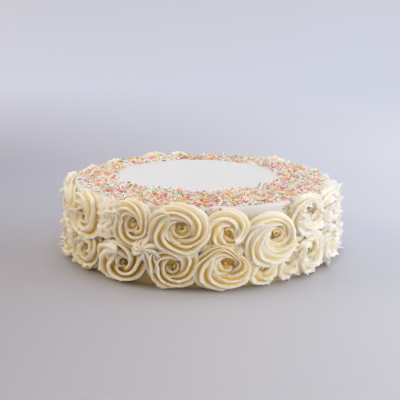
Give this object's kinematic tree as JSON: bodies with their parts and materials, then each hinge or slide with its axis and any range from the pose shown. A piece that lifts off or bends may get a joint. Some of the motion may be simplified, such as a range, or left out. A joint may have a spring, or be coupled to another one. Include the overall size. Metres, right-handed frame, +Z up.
{
  "type": "rosette cake",
  "caption": "Round white buttercream cake with ridged piped rosettes round its side and a ring of pastel sugar strands on its flat top.",
  "frame": {"origin": "centre of the round flat underside, on the cake's axis", "axes": "+Z up along the cake's axis; -Y towards the side that the picture shows; +X to the right of that view"},
  "size_m": [0.2627, 0.2638, 0.0733],
  "materials": {
    "smooth_icing": "smooth satin buttercream, with pastel sugar strands pressed into its top",
    "piped_icing": "ridged satin buttercream"
  },
  "bodies": {
    "root": {"cake_body": "smooth_icing", "rosette_low_01": "piped_icing", "rosette_low_02": "piped_icing", "rosette_low_03": "piped_icing", "rosette_low_04": "piped_icing", "rosette_low_05": "piped_icing", "rosette_low_06": "piped_icing", "rosette_low_07": "piped_icing", "rosette_low_08": "piped_icing", "rosette_low_09": "piped_icing", "rosette_low_10": "piped_icing", "rosette_low_11": "piped_icing", "rosette_low_12": "piped_icing", "rosette_low_13": "piped_icing", "rosette_low_14": "piped_icing", "rosette_low_15": "piped_icing", "rosette_low_16": "piped_icing", "rosette_low_17": "piped_icing", "rosette_low_18": "piped_icing", "rosette_low_19": "piped_icing", "rosette_low_20": "piped_icing", "rosette_top_01": "piped_icing", "rosette_top_02": "piped_icing", "rosette_top_03": "piped_icing", "rosette_top_04": "piped_icing", "rosette_top_05": "piped_icing", "rosette_top_06": "piped_icing", "rosette_top_07": "piped_icing", "rosette_top_08": "piped_icing", "rosette_top_09": "piped_icing", "rosette_top_10": "piped_icing", "rosette_top_11": "piped_icing", "rosette_top_12": "piped_icing", "rosette_top_13": "piped_icing", "rosette_top_14": "piped_icing", "rosette_top_15": "piped_icing", "rosette_top_16": "piped_icing", "rosette_top_17": "piped_icing", "rosette_top_18": "piped_icing", "rosette_top_19": "piped_icing", "star_01": "piped_icing", "star_02": "piped_icing", "star_03": "piped_icing", "star_04": "piped_icing", "star_05": "piped_icing", "star_06": "piped_icing", "star_07": "piped_icing", "star_08": "piped_icing", "star_09": "piped_icing", "star_10": "piped_icing"}
  },
  "joints": []
}
